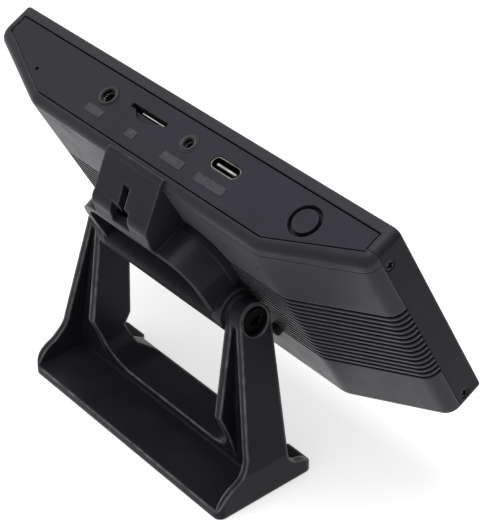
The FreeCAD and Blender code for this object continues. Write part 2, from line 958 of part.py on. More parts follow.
def make_power_button():
    body = new_body("power_button")
    top = panel_top + s.button_rise
    flange_top = button_bottom + s.button_flange_thick
    add(body, "XY", button_bottom, flange_top,
        circle(button_across, s.button_back, s.button_flange_width))
    add(body, "XY", flange_top, top, circle(button_across, s.button_back, s.button_width))
    add(body, "XY", stem_end, button_bottom, circle(button_across, s.button_back, s.button_stem_width))
    return body


def make_power_switch():
    body = new_body("power_switch")
    half = s.switch_width / 2
    top = plunger_top - s.plunger_height
    add(body, "XY", top - s.switch_height, top,
        box(button_across - half, button_across + half, bracket_back + s.switch_front_gap, board_front))
    add(body, "XY", top, plunger_top, circle(button_across, s.button_back, s.plunger_width))
    return body


def make_microphone():
    body = new_body("microphone")
    top = panel_bottom - s.fit
    side = mic_across + s.mic_margin
    rear = s.mic_back + s.mic_margin
    add(body, "XY", top - s.mic_thick, top,
        box(side - s.mic_width, side, rear - s.mic_reach, rear))
    cut(body, "XY", top - s.mic_bore_depth, top + s.overrun,
        circle(mic_across, s.mic_back, s.mic_port))
    return body


def make_speaker():
    body = new_body("speaker")
    rear = back_inside - s.fit
    level = pivot_level + s.speaker_rise
    add(body, "XZ", rear - s.speaker_thick, rear, circle(as_size(0), level, s.speaker_width))
    cut(body, "XZ", rear - s.speaker_cone_depth, rear + s.overrun,
        circle(as_size(0), level, s.speaker_width - 2 * s.speaker_rim))
    return body


# tilt yoke and pivot hardware

def arch_outline(width, top, radius, foot, inset):
    """Round-shouldered arch, drawn in by an inset."""
    half = width / 2 - inset
    crown = top - inset
    bend = radius - inset
    return [
        (-half, foot),
        (half, foot),
        (half, crown - bend, bend, 1),
        (half - bend, crown),
        (bend - half, crown, bend, 1),
        (-half, crown - bend),
    ]


def arch_stations(foot, inset):
    """Outlines of the arch at the case and at its narrower mouth."""
    rear = s.case_depth + s.yoke_depth
    mouth_width = yoke_width - 2 * s.yoke_taper
    return [
        (s.case_depth, arch_outline(yoke_width, yoke_top, s.yoke_round, foot, inset)),
        (rear, arch_outline(mouth_width, yoke_mouth_top, s.yoke_mouth_round, foot, inset)),
    ]


def make_tilt_yoke():
    body = new_body("tilt_yoke")
    back = s.case_depth
    foot = pivot_level + s.yoke_foot_rise
    loft(body, "AdditiveLoft", arch_stations(foot, as_size(0)))
    loft(body, "SubtractiveLoft", arch_stations(foot - s.overrun, s.yoke_wall))
    add(body, "XZ", back, back + s.yoke_plate,
        arch_outline(yoke_width, yoke_top, s.yoke_round, pivot_level, as_size(0)))
    half_barrel = s.barrel_length / 2
    add(body, "YZ", -half_barrel, half_barrel, circle(pivot_depth, pivot_level, s.barrel_width))
    cut(body, "XZ", back - s.barrel_width, back,
        box(-half_barrel - s.overrun, half_barrel + s.overrun,
            pivot_level - s.barrel_width, pivot_level + s.barrel_width))
    add_hood(body)
    for side in (1, -1):
        bore = span(side, half_barrel - s.insert_length, half_barrel + s.overrun)
        cut(body, "YZ", bore[0], bore[1], circle(pivot_depth, pivot_level, s.insert_width + 2 * s.fit))
    for across, level in yoke_screw_places():
        cut(body, "XZ", back - s.overrun, back + s.yoke_screw_bite + s.fit,
            circle(across, level, s.yoke_screw_shank + 2 * s.fit))
    return body


def add_hood(body):
    """Hollow hood over the crown of the arch, with a lip over the rounded edge of the case."""
    back = s.case_depth
    mouth = back + s.yoke_depth
    half = s.hood_width / 2
    lip_centre = back - s.edge_round
    lip_level = half_height - s.edge_round
    lip_radius = s.edge_round + s.fit
    lip_end = lip_centre + lip_radius * cosine(s.hood_lip_angle)
    lip_end_level = lip_level + lip_radius * sine(s.hood_lip_angle)
    crown_sink = s.yoke_wall / 2
    knee_level = half_height - s.hood_knee_drop
    heel_level = half_height - s.hood_heel_drop
    add(body, "YZ", -half, half, [
        (back, yoke_top - crown_sink),
        (back, lip_level),
        (back + s.fit, lip_level, lip_radius, 1),
        (lip_end, lip_end_level),
        (lip_end, lip_end_level + s.hood_lip_thick),
        (back, hood_top),
        (back + s.hood_knee_back, knee_level, s.hood_knee_round, -1),
        (back + s.hood_heel_back, heel_level),
        (back + s.hood_tail_back, half_height - s.hood_tail_drop),
        (mouth, yoke_mouth_top - crown_sink),
    ])
    hollow_front = back + s.yoke_plate
    hollow_rear = back + s.hood_heel_back - s.hood_wall
    crown_fall = (yoke_top - yoke_mouth_top) / s.yoke_depth
    floor_front = yoke_top - s.yoke_plate * crown_fall + s.hood_floor
    floor_rear = yoke_top - (hollow_rear - back) * crown_fall + s.hood_floor
    inside = s.hood_hollow_width / 2
    cut(body, "YZ", -inside, inside, [
        (hollow_front, floor_front),
        (hollow_rear, floor_rear),
        (hollow_rear, heel_level),
        (back + s.hood_knee_back - s.hood_wall / 2, knee_level - s.hood_wall),
        (hollow_front, hood_top - 2 * s.hood_wall),
    ])
    slot_floor = half_height - s.slot_drop
    cut(body, "XY", slot_floor, hood_top + s.overrun,
        box(-s.slot_narrow_width / 2, s.slot_narrow_width / 2,
            back + s.slot_narrow_back, back + s.slot_wide_back + s.fit))
    cut(body, "XY", slot_floor, hood_top + s.overrun,
        box(-s.slot_wide_width / 2, s.slot_wide_width / 2,
            back + s.slot_wide_back, back + s.hood_tail_back + s.overrun))


def make_yoke_screws():
    body = new_body("yoke_screws")
    seat = back_inside - s.fit
    for across, level in yoke_screw_places():
        add(body, "XZ", seat - s.yoke_screw_head_thick, seat, circle(across, level, s.yoke_screw_head))
        add(body, "XZ", seat, s.case_depth + s.yoke_screw_bite, circle(across, level, s.yoke_screw_shank))
    return body


def make_pivot_inserts():
    body = new_body("pivot_inserts")
    end = s.barrel_length / 2
    for side in (1, -1):
        reach = span(side, end - s.insert_length, end)
        add(body, "YZ", reach[0], reach[1],
            circle(pivot_depth, pivot_level, s.insert_width),
            circle(pivot_depth, pivot_level, s.pivot_shank + 2 * s.fit))
    return body


def make_pivot_screws():
    body = new_body("pivot_screws")
    seat = pivot_seat + s.fit
    head_end = seat + s.pivot_head_thick
    for side in (1, -1):
        shank = span(side, s.barrel_length / 2 - s.pivot_shank_bite, seat)
        add(body, "YZ", shank[0], shank[1], circle(pivot_depth, pivot_level, s.pivot_shank))
        head = span(side, seat, head_end)
        add(body, "YZ", head[0], head[1], circle(pivot_depth, pivot_level, s.pivot_head))
    arm = s.pivot_drive_width / 2
    thin = s.pivot_drive_width / 6
    for side in (1, -1):
        recess = span(side, head_end - s.pivot_drive_depth, head_end + s.overrun)
        for wide, tall in ((arm, thin), (thin, arm)):
            cut(body, "YZ", recess[0], recess[1],
                box(pivot_depth - wide, pivot_depth + wide, pivot_level - tall, pivot_level + tall))
    return body


def make_friction_washers():
    body = new_body("friction_washers")
    end = s.barrel_length / 2
    for side in (1, -1):
        reach = span(side, end, end + s.washer_thick)
        add(body, "YZ", reach[0], reach[1],
            circle(pivot_depth, pivot_level, s.washer_width),
            circle(pivot_depth, pivot_level, s.pivot_shank + 2 * s.fit))
    return body


# stand

def base_outline(inset):
    """Foot of the stand seen from above: two toes in front, a straight edge behind."""
    side = s.base_width / 2 - inset
    rear = s.base_rear - inset
    toe = inset - s.base_front
    middle = inset - s.base_middle_front
    toe_inner = s.base_width / 2 - s.toe_width + inset
    step = toe_inner - s.toe_step
    corner = s.base_corner
    return [
        (toe_inner, toe),
        (side - corner, toe, corner, 1),
        (side, toe + corner),
        (side, rear - corner, corner, 1),
        (side - corner, rear),
        (corner - side, rear, corner, 1),
        (-side, rear - corner),
        (-side, toe + corner, corner, 1),
        (corner - side, toe),
        (-toe_inner, toe),
        (-step, middle),
        (step, middle),
    ]


def leg_top_points():
    """Rounded top of a leg, from its rear edge over to its front edge."""
    radius = s.leg_top_width / 2
    return [
        (radius - s.pivot_forward, s.pivot_height, radius, 1),
        (-s.pivot_forward, s.pivot_height + radius, radius, 1),
        (-s.pivot_forward - radius, s.pivot_height),
    ]


def make_stand_frame():
    body = new_body("stand_frame")
    for side in (1, -1):
        add_outer_wall(body, side)
    add_floor_corners(body)
    add(body, "XY", s.base_lift, s.base_top, base_outline(as_size(0)))
    add(body, "XY", s.base_lift, s.floor_top, box(-leg_inner, leg_inner, -s.floor_front, s.floor_rear))
    for side in (1, -1):
        add_inner_wall(body, side)
        add_leg_web(body, side)
        boss = span(side, leg_inner, leg_outer_top)
        add(body, "YZ", boss[0], boss[1], circle(-s.pivot_forward, s.pivot_height, s.leg_top_width))
    for side in (1, -1):
        bore = span(side, leg_inner - s.overrun, s.base_width / 2 + s.overrun)
        cut(body, "YZ", bore[0], bore[1],
            circle(-s.pivot_forward, s.pivot_height, s.pivot_shank + 2 * s.fit))
        recess = span(side, pivot_seat, s.base_width / 2 + s.overrun)
        cut(body, "YZ", recess[0], recess[1],
            circle(-s.pivot_forward, s.pivot_height, s.pivot_recess))
    trim_base_corners(body)
    below = s.base_lift - s.overrun
    cut(body, "XY", below, s.pad_thick, base_outline(s.pad_margin))
    cut(body, "XY", below, s.weight_top + s.fit, base_outline(s.weight_margin))
    cut(body, "XY", below, s.weight_bar_top + s.fit, weight_bar_outline(s.pad_gap))
    return body


def trim_base_corners(body):
    """Carry the rounded corners of the base up through the flared feet of the legs."""
    side = s.base_width / 2 + s.overrun
    around = box(-side, side, -s.base_front - s.overrun, s.base_rear + s.overrun)
    cut(body, "XY", s.base_lift - s.overrun, s.leg_bend_height, around, base_outline(as_size(0)))


def weight_bar_outline(margin):
    """Thicker bar of the weight, under the raised floor."""
    half = leg_inner - s.weight_bar_margin + margin
    return box(-half, half, -s.weight_bar_front - margin, margin - s.weight_bar_rear)


def leg_top():
    return s.pivot_height + s.leg_top_width / 2


def outer_wall_place(height):
    """Outer face of the leg at a height above its bend."""
    foot = s.base_width / 2
    rise_share = (height - s.leg_bend_height) / (leg_top() - s.leg_bend_height)
    return foot - (foot - leg_outer_top) * rise_share


def flare_radius(reach, height):
    """Radius of the two equal bends that carry a leg out into its foot."""
    return (reach * reach + height * height) / (4 * reach)


def add_outer_wall(body, side):
    """Outer wall of a leg: it leans in above a bend and flares out into the foot in front and behind."""
    foot = s.base_width / 2
    add(body, "XZ", -s.base_front, s.base_rear, [
        (side * foot, s.base_top - s.leg_wall),
        (side * foot, s.leg_bend_height),
        (side * leg_outer_top, leg_top()),
        (side * (leg_outer_top - s.leg_wall), leg_top()),
        (side * (foot - s.leg_wall), s.leg_bend_height),
        (side * (foot - s.leg_wall), s.base_top - s.leg_wall),
    ])
    rear_radius = flare_radius(s.base_rear - s.leg_rear, s.rear_flare_height)
    front_radius = flare_radius(s.base_front - s.leg_front, s.front_flare_height)
    reach = span(side, leg_outer_top - 2 * s.leg_wall, foot + s.overrun)
    cut(body, "YZ", reach[0], reach[1], [
        (s.base_rear, s.base_lift, rear_radius, 1),
        ((s.base_rear + s.leg_rear) / 2, s.base_lift + s.rear_flare_height / 2, rear_radius, -1),
        (s.leg_rear, s.base_lift + s.rear_flare_height),
    ] + leg_top_points() + [
        (-s.leg_front, s.base_lift + s.front_flare_height, front_radius, -1),
        (-(s.base_front + s.leg_front) / 2, s.base_lift + s.front_flare_height / 2, front_radius, 1),
        (-s.base_front, s.base_lift),
        (-s.base_front - s.overrun, s.base_lift),
        (-s.base_front - s.overrun, leg_top() + s.overrun),
        (s.base_rear + s.overrun, leg_top() + s.overrun),
        (s.base_rear + s.overrun, s.base_lift),
    ])


def add_floor_corners(body):
    """Hollow bends that carry the raised floor up into the inner walls of the legs."""
    foot = s.base_top - s.leg_wall / 2
    for side in (1, -1):
        reach = span(side, leg_inner - s.floor_round, leg_inner + s.leg_inner_wall / 2)
        add(body, "YZ", reach[0], reach[1], [
            (s.floor_rear, foot),
            (s.floor_rear, s.floor_top),
            (s.trim_rear_low_place, s.trim_rear_low),
            (-s.trim_front_low_place, s.trim_front_low),
            (-s.trim_front_foot_place, s.trim_front_foot),
            (-s.floor_front, s.floor_top),
            (-s.floor_front, foot),
        ])
    straight = leg_inner - s.floor_round
    cut(body, "XZ", -s.base_front, s.base_rear, [
        (-leg_inner, s.floor_top + s.floor_round, s.floor_round, 1),
        (-straight, s.floor_top),
        (straight, s.floor_top, s.floor_round, 1),
        (leg_inner, s.floor_top + s.floor_round),
        (leg_inner, leg_top()),
        (-leg_inner, leg_top()),
    ])


def add_inner_wall(body, side):
    """Inner wall of a leg, cut away towards the raised floor."""
    reach = span(side, leg_inner, leg_inner + s.leg_inner_wall)
    foot = s.base_top - s.leg_wall / 2
    add(body, "YZ", reach[0], reach[1], [
        (s.floor_rear, foot),
        (s.floor_rear, s.floor_top),
        (s.trim_rear_low_place, s.trim_rear_low),
        (s.trim_rear_high_place, s.trim_rear_high),
    ] + leg_top_points() + [
        (-s.trim_front_high_place, s.trim_front_high),
        (-s.trim_front_low_place, s.trim_front_low),
        (-s.trim_front_foot_place, s.trim_front_foot),
        (-s.floor_front, s.floor_top),
        (-s.floor_front, foot),
    ])


def add_leg_web(body, side):
    """Cross wall that ties the inner and outer walls of a leg together."""
    lap = s.leg_wall / 2
    inner = leg_inner + lap
    outer = s.base_width / 2 - lap
    foot = s.base_top - lap
    add(body, "XZ", s.leg_web_rear - s.leg_web_thick, s.leg_web_rear, [
        (side * inner, foot),
        (side * outer, foot),
        (side * outer, s.leg_bend_height),
        (side * (outer_wall_place(s.pivot_height) - lap), s.pivot_height),
        (side * inner, s.pivot_height),
    ])


def make_base_pad():
    body = new_body("base_pad")
    add(body, "XY", as_size(0), s.pad_thick, base_outline(s.pad_margin + s.pad_gap))
    return body


def make_base_weight():
    """Steel plate let into the base from below, held by the pad."""
    body = new_body("base_weight")
    add(body, "XY", s.pad_thick, s.weight_top, base_outline(s.weight_margin + s.pad_gap))
    add(body, "XY", s.weight_top, s.weight_bar_top, weight_bar_outline(as_size(0)))
    return body


# assembly

def lean_back(body):
    """Turn a piece of the display about X, so that its pivot lands on the pivot of the stand."""
    tilt = s.tilt_angle
    body.Placement = FreeCAD.Placement(FreeCAD.Vector(), FreeCAD.Rotation(FreeCAD.Vector(1, 0, 0), 0))
    bind(body, "Placement.Rotation.Angle", -tilt)
    bind(body, "Placement.Base.y",
         -s.pivot_forward - pivot_depth * cosine(tilt) - pivot_level * sine(tilt))
    bind(body, "Placement.Base.z",
         s.pivot_height + pivot_depth * sine(tilt) - pivot_level * cosine(tilt))


def make_display_pieces():
    return [
        make_front_frame(),
        make_rear_cover(),
        make_top_cap(),
        make_port_panel(),
        make_side_screws(),
        make_rear_bumpers(),
        make_cover_lens(),
        make_lcd_panel(),
        make_backlight(),
        make_panel_bracket(),
        make_display_cable(),
        make_main_board(),
        make_board_screws(),
        make_jack("aux_jack", s.aux_across, s.aux_back, s.aux_collar, s.aux_bore),
        make_jack("av_jack", -s.av_across, s.av_back, s.av_collar, s.av_bore),
        make_card_reader(),
        make_usb_c_shell(),
        make_usb_c_tongue(),
        make_power_button(),
        make_power_switch(),
        make_microphone(),
        make_speaker(),
        make_tilt_yoke(),
        make_yoke_screws(),
        make_pivot_inserts(),
        make_pivot_screws(),
        make_friction_washers(),
    ]


def write_parts(bodies):
    """Check every object and shape, then write one file for each piece."""
    for item in document.Objects:
        if "Invalid" in item.State or "Error" in item.State:
            raise RuntimeError("%s is not valid: %s" % (item.Label, item.State))
    os.makedirs("parts", exist_ok=True)
    for body in bodies:
        shape = body.Shape
        if shape.isNull() or not shape.isValid():
            raise RuntimeError("%s has no valid shape" % body.Label)
        shape.exportStep("parts/%s.step" % body.Label)
        print("%s: %d solids, %.1f mm3" % (body.Label, len(shape.Solids), shape.Volume))


display_pieces = make_display_pieces()
for piece in display_pieces:
    lean_back(piece)
stand_pieces = [make_stand_frame(), make_base_weight(), make_base_pad()]
document.recompute()
write_parts(display_pieces + stand_pieces)
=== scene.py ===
import math

import bmesh
import bpy
from mathutils import Matrix, Vector


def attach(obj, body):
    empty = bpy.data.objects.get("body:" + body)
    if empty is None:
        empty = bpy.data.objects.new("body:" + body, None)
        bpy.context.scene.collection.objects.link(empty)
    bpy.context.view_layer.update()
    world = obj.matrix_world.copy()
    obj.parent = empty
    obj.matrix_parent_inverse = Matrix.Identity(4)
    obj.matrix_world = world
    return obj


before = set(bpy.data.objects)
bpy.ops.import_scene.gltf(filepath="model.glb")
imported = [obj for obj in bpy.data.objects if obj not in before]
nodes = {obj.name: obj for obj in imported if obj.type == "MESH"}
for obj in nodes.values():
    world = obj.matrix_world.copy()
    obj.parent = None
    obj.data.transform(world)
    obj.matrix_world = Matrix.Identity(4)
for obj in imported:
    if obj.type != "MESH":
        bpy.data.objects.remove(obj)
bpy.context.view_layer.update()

# A small display on a tilting desk stand: charcoal case, near-black stand and bracket.
# The camera, the lamp and the floor follow the photograph; every piece keeps the place its solid has.

scene = bpy.context.scene
MM = 0.001
WHITE = (1, 1, 1)
BLACK = (0, 0, 0)

# camera, in degrees and metres
VIEW_AZIMUTH = 230.08
VIEW_ELEVATION = 34.81
VIEW_ROLL = -0.3
VIEW_DISTANCE = 0.38976
AIM = Vector((-0.02689, 0, 0.0614))
LENS_MM = 123.7

# floor: half its width in metres, its depth under the part in mm, and its glow where the camera sees it
FLOOR_HALF = 3.0
FLOOR_DROP = 0.02
FLOOR_COLOUR = (0.92, 0.92, 0.92)
FLOOR_ROUGHNESS = 0.9
FLOOR_SEEN_GLOW = 0.55

# fill light of the world: where most of it comes from, its least and most strength, and how far it fades
FILL_FROM = (0.25, -0.25, 0.9)
FILL_LOW = 0.3
FILL_HIGH = 0.55
FILL_SPREAD = 0.8

# lamp, in metres and watts
LAMP_PLACE = (0.1, 0.12, 1.2)
LAMP_AIM = (0, 0, 0.05)
LAMP_SIZE = 1.0
LAMP_POWER = 7

# lean of the display, half the height of its case and the pivot that it turns on, in mm
LEAN = math.radians(28.1)
CASE_HALF_HEIGHT = 31.5
PIVOT = Vector((0, -2.84, 44.4))
PIVOT_DEPTH = 24.92
PIVOT_LEVEL = -1.25

# ports: places across and back on the upright display, and the sizes of the details in them, in mm
AUX_PLACE = (21.8, 8.8)
AUX_BORE = 3.5
AV_PLACE = (-7, 8.3)
AV_BORE = 2.5
JACKS = {"aux": (AUX_PLACE, AUX_BORE), "av": (AV_PLACE, AV_BORE)}
SLEEVE_GAP = 0.05
SLEEVE_WALL = 0.15
SLEEVE_SINK = 1.1
SLEEVE_REACH = 5
CARD_PLACE = (8.02, 7.5)
CARD_SLOT_THICK = 1.2
CARD_SPRING_GAP = 0.1
CARD_SPRING_THICK = 0.25
CARD_SPRING_START = 2.2
CARD_SPRING_END = 5.6
CARD_SPRING_SINK = 0.35
CARD_SPRING_REACH = 5
TONGUE_THICK = 0.7
CONTACT_COUNT = 12
CONTACT_PITCH = 0.5
CONTACT_WIDTH = 0.27
CONTACT_THICK = 0.02
CONTACT_LENGTH = 3.6
CONTACT_SET_DOWN = 0.35
TONGUE_TIP_WIDTH = 6.2
TONGUE_TIP_THICK = 0.45
LIP_GAP = 0.1
LIP_RADIUS = 0.38
LIP_SEAT = 0.05

# zones of the mouldings with painted shade and a painted highlight, in mm on the upright display
SEAM_LEVEL = 27.84
SEAM_SHADE = 0.16
SEAM_FADE = SEAM_SHADE / 3
RIM_HIGHLIGHT_LEVEL = 30.6
BARREL_RADIUS = 5.8
BARREL_FADE = 0.25
BARREL_SHADE_HALF = 20.5

# face of the port panel above mid height, the rise of its label plates, and the lit field of the lens, in mm
PANEL_TOP = 31.4
LABEL_LOW = 0.07
LABEL_HIGH = 0.1
FIELD_HALF_WIDTH = 58
FIELD_HALF_HEIGHT = 26.5
FIELD_FADE = 0.1

# worn edges with a painted highlight: cosine of the angle from the true to the rounded normal where the
# lighter edge colour starts and is full
EDGE_SAMPLES = 6
WEAR_AND_HIGHLIGHT_START = 0.998
WEAR_AND_HIGHLIGHT_FULL = 0.9

# inner corners, which get no lighter edge colour: reach in mm, and how open a point is where that colour
# starts and is full
CORNER_SAMPLES = 6
CORNER_REACH = 1.5
OPEN_START_SHARE = 0.7
OPEN_FULL_SHARE = 0.95

# mouldings: sizes in mm and detail of the clouds, scuffs and gloss patches; the scuffs also break up the
# painted edge highlight
CLOUD_MM = 22
CLOUD_DETAIL = 4
SCUFF_MM = 3.5
SCUFF_DETAIL = 5
SCUFF_LEAST = 0.35
SCUFF_START = 0.35
SCUFF_STOP = 0.65
GLOSS_MM = 6
GLOSS_DETAIL = 5
GRAIN_DETAIL = 3
COOL_TINT = (0.9, 0.89, 1.0, 1)
SHEEN_ROUGHNESS = 0.35

# scales of the panel's hatch, with bands about 0.9 mm apart, and of the board's tracks, about 3 mm apart
HATCH_SCALE = 640
BOARD_SCALE = 160

# thin sheets: how many gloss patches and how many bumps span one grain
GLOSS_PER_GRAIN = 3
BUMPS_PER_GRAIN = 6

# range that most of a noise texture stays in
NOISE_LOW = 0.3
NOISE_HIGH = 0.7

# colour sockets of a Mix node
MIX_FIRST = 6
MIX_SECOND = 7
MIX_RESULT = 2


def display_matrix():
    """From the upright display to the part, in mm.

    On the upright display x runs across, y back from the screen and z up from mid height."""
    turn = Matrix.Rotation(-LEAN, 4, "X")
    pivot_upright = Vector((0, PIVOT_DEPTH, PIVOT_LEVEL))
    return Matrix.Translation(PIVOT - turn @ pivot_upright) @ turn


def upright_box(name):
    """Lowest and highest corner of a node in the upright display's millimetres."""
    back_to_upright = display_matrix().inverted()
    piece = nodes[name]
    points = [back_to_upright @ (piece.matrix_world @ vertex.co / MM) for vertex in piece.data.vertices]
    low = Vector([min(point[i] for point in points) for i in range(3)])
    high = Vector([max(point[i] for point in points) for i in range(3)])
    return low, high


# shader helpers

def new_material(name):
    material = bpy.data.materials.new(name)
    material.use_nodes = True
    return material, material.node_tree, material.node_tree.nodes["Principled BSDF"]


def add_node(tree, kind, **settings):
    node = tree.nodes.new("ShaderNode" + kind)
    for key, value in settings.items():
        setattr(node, key, value)
    return node


def object_place(tree):
    return add_node(tree, "TexCoord").outputs["Object"]


def noise(tree, size_mm, detail):
    """Noise whose grains are about size_mm across."""
    texture = add_node(tree, "TexNoise")
    texture.inputs["Scale"].default_value = 1 / (size_mm * MM)
    texture.inputs["Detail"].default_value = detail
    tree.links.new(object_place(tree), texture.inputs["Vector"])
    return texture.outputs["Fac"]


def between(tree, value, low, high, start=NOISE_LOW, stop=NOISE_HIGH):
    """Carry a value that runs from start to stop over to low to high."""
    spread = add_node(tree, "MapRange")
    spread.inputs["From Min"].default_value = start
    spread.inputs["From Max"].default_value = stop
    spread.inputs["To Min"].default_value = low
    spread.inputs["To Max"].default_value = high
    tree.links.new(value, spread.inputs["Value"])
    return spread.outputs["Result"]


def mixed(tree, share, first, second):
    """Colour that goes from first to second; either may be a colour or a socket."""
    mix = add_node(tree, "Mix", data_type="RGBA")
    tree.links.new(share, mix.inputs["Factor"])
    for colour, socket in ((first, mix.inputs[MIX_FIRST]), (second, mix.inputs[MIX_SECOND])):
        if isinstance(colour, bpy.types.NodeSocket):
            tree.links.new(colour, socket)
        else:
            socket.default_value = (*colour, 1)
    return mix.outputs[MIX_RESULT]


def combined(tree, operation, first, second):
    result = add_node(tree, "Math", operation=operation)
    tree.links.new(first, result.inputs[0])
    tree.links.new(second, result.inputs[1])
    return result.outputs["Value"]


def both(tree, first, second):
    return combined(tree, "MULTIPLY", first, second)


def larger(tree, first, second):
    return combined(tree, "MAXIMUM", first, second)


def upright_place(tree):
    """Place on the upright display in metres, as x across, y back and z up."""
    turn = add_node(tree, "Mapping", vector_type="POINT")
    back_to_upright = display_matrix().inverted()
    turn.inputs["Rotation"].default_value = back_to_upright.to_euler()
    turn.inputs["Location"].default_value = back_to_upright.translation * MM
    tree.links.new(object_place(tree), turn.inputs["Vector"])
    split = add_node(tree, "SeparateXYZ")
    tree.links.new(turn.outputs["Vector"], split.inputs["Vector"])
    return split.outputs


def measured_from(tree, value, middle_mm):
    """A place along an axis, counted from middle_mm."""
    offset = add_node(tree, "Math", operation="SUBTRACT")
    tree.links.new(value, offset.inputs[0])
    offset.inputs[1].default_value = middle_mm * MM
    return offset.outputs["Value"]


def within(tree, value, half_mm, soft_mm):
    """1 where a place lies within half_mm of the middle, 0 outside."""
    size = add_node(tree, "Math", operation="ABSOLUTE")
    tree.links.new(value, size.inputs[0])
    return between(tree, size.outputs["Value"], 1, 0, start=(half_mm - soft_mm) * MM, stop=half_mm * MM)


def rounded_normal(tree, radius_mm):
    soft = add_node(tree, "Bevel", samples=EDGE_SAMPLES)
    soft.inputs["Radius"].default_value = radius_mm * MM
    return soft.outputs["Normal"]


def edge_share(tree, soft_normal):
    """How near a point is to a sharp outer edge, from 0 on a flat or in a corner to 1 on the edge."""
    plain = add_node(tree, "NewGeometry").outputs["Normal"]
    dot = add_node(tree, "VectorMath", operation="DOT_PRODUCT")
    tree.links.new(soft_normal, dot.inputs[0])
    tree.links.new(plain, dot.inputs[1])
    near = between(tree, dot.outputs["Value"], 0, 1, start=WEAR_AND_HIGHLIGHT_START, stop=WEAR_AND_HIGHLIGHT_FULL)
    openness = add_node(tree, "AmbientOcclusion", samples=CORNER_SAMPLES)
    openness.inputs["Distance"].default_value = CORNER_REACH * MM
    outer = between(tree, openness.outputs["AO"], 0, 1, start=OPEN_START_SHARE, stop=OPEN_FULL_SHARE)
    return both(tree, near, outer)


def bumped(tree, height, depth_mm, normal=None):
    bump = add_node(tree, "Bump")
    bump.inputs["Distance"].default_value = depth_mm * MM
    tree.links.new(height, bump.inputs["Height"])
    if normal is not None:
        tree.links.new(normal, bump.inputs["Normal"])
    return bump.outputs["Normal"]


# mouldings

def moulded_plastic(
        name, dark, light, edge, rough, grain_mm, grain_depth, edge_mm, specular, sheen=0, zone=None,
        zone_colour=None, zone_specular=None):
    """Textured moulding: cloudy colour, fine spark grain, and lighter edges, partly worn by handling and
    partly a painted highlight on the rounded edges.

    A zone function marks where the moulding takes another colour and gloss; the zones carry painted shade and
    a painted highlight."""
    material, tree, shader = new_material(name)
    soft = rounded_normal(tree, edge_mm)
    wear_and_highlight = edge_share(tree, soft)
    cloud = between(tree, noise(tree, CLOUD_MM, CLOUD_DETAIL), 0, 1)
    colour = mixed(tree, cloud, dark, light)
    scratched = noise(tree, SCUFF_MM, SCUFF_DETAIL)
    scuffs_and_highlight_patches = between(tree, scratched, SCUFF_LEAST, 1, start=SCUFF_START, stop=SCUFF_STOP)
    # lighter edge colour: partly wear, partly a painted highlight on the rounded edges
    worn_colour_with_painted_light = mixed(tree, both(tree, wear_and_highlight, scuffs_and_highlight_patches), colour, edge)
    shader.inputs["Specular IOR Level"].default_value = specular
    if zone is not None:
        # zone colour: painted shade in the seam and barrel zones, a painted highlight in the rim zone
        marked = zone(tree)
        worn_colour_with_painted_light = mixed(tree, marked, worn_colour_with_painted_light, zone_colour)
        gloss = between(tree, marked, specular, zone_specular, start=0, stop=1)
        tree.links.new(gloss, shader.inputs["Specular IOR Level"])
    tree.links.new(worn_colour_with_painted_light, shader.inputs["Base Color"])
    grain = noise(tree, grain_mm, GRAIN_DETAIL)
    patches = noise(tree, GLOSS_MM, GLOSS_DETAIL)
    tree.links.new(between(tree, patches, rough[0], rough[1]), shader.inputs["Roughness"])
    tree.links.new(bumped(tree, grain, grain_depth, soft), shader.inputs["Normal"])
    shader.inputs["Specular Tint"].default_value = COOL_TINT
    shader.inputs["Sheen Weight"].default_value = sheen
    shader.inputs["Sheen Roughness"].default_value = SHEEN_ROUGHNESS
    shader.inputs["Sheen Tint"].default_value = COOL_TINT
    return material


def seam_zone(tree):
    """The shadow line under the cap."""
    level = measured_from(tree, upright_place(tree)["Z"], SEAM_LEVEL)
    return within(tree, level, SEAM_SHADE, SEAM_FADE)


def rim_highlight_zone(tree):
    """The strip along the top of the frame, painted lighter as a highlight on its rounded front edge."""
    return between(tree, upright_place(tree)["Z"], 0, 1, start=RIM_HIGHLIGHT_LEVEL * MM, stop=CASE_HALF_HEIGHT * MM)


def barrel_shade_zone(tree):
    """The pivot barrel between the ends of the arch, painted darker and less glossy as the shade under the
    arch's rim.
    """
    place = upright_place(tree)
    offset = add_node(tree, "CombineXYZ")
    for axis, middle in (("Y", PIVOT_DEPTH), ("Z", PIVOT_LEVEL)):
        tree.links.new(measured_from(tree, place[axis], middle), offset.inputs[axis])
    reach = add_node(tree, "VectorMath", operation="LENGTH")
    tree.links.new(offset.outputs["Vector"], reach.inputs[0])
    core = between(
        tree, reach.outputs["Value"], 1, 0, start=BARREL_RADIUS * MM, stop=(BARREL_RADIUS + BARREL_FADE) * MM)
    return both(tree, core, within(tree, place["X"], BARREL_SHADE_HALF, BARREL_FADE))


def frame_material():
    # the rim zone's lighter colour is a painted highlight along the top of the frame
    return moulded_plastic(
        "frame_plastic", dark=(0.014, 0.0142, 0.0185), light=(0.02, 0.0202, 0.026), edge=(0.03, 0.03, 0.036),
        rough=(0.3, 0.42), grain_mm=0.35, grain_depth=0.012, edge_mm=0.45, specular=0.08, sheen=0.02,
        zone=rim_highlight_zone, zone_colour=(0.046, 0.0435, 0.0485), zone_specular=0.1)


def yoke_material():
    # the barrel zone's dark colour is painted shade under the arch's rim
    return moulded_plastic(
        "yoke_plastic", dark=(0.0165, 0.0157, 0.021), light=(0.023, 0.022, 0.0285), edge=(0.12, 0.119, 0.127),
        rough=(0.28, 0.4), grain_mm=0.45, grain_depth=0.01, edge_mm=0.6, specular=0.12, sheen=0.15,
        zone=barrel_shade_zone, zone_colour=(0.009, 0.009, 0.011), zone_specular=0.03)


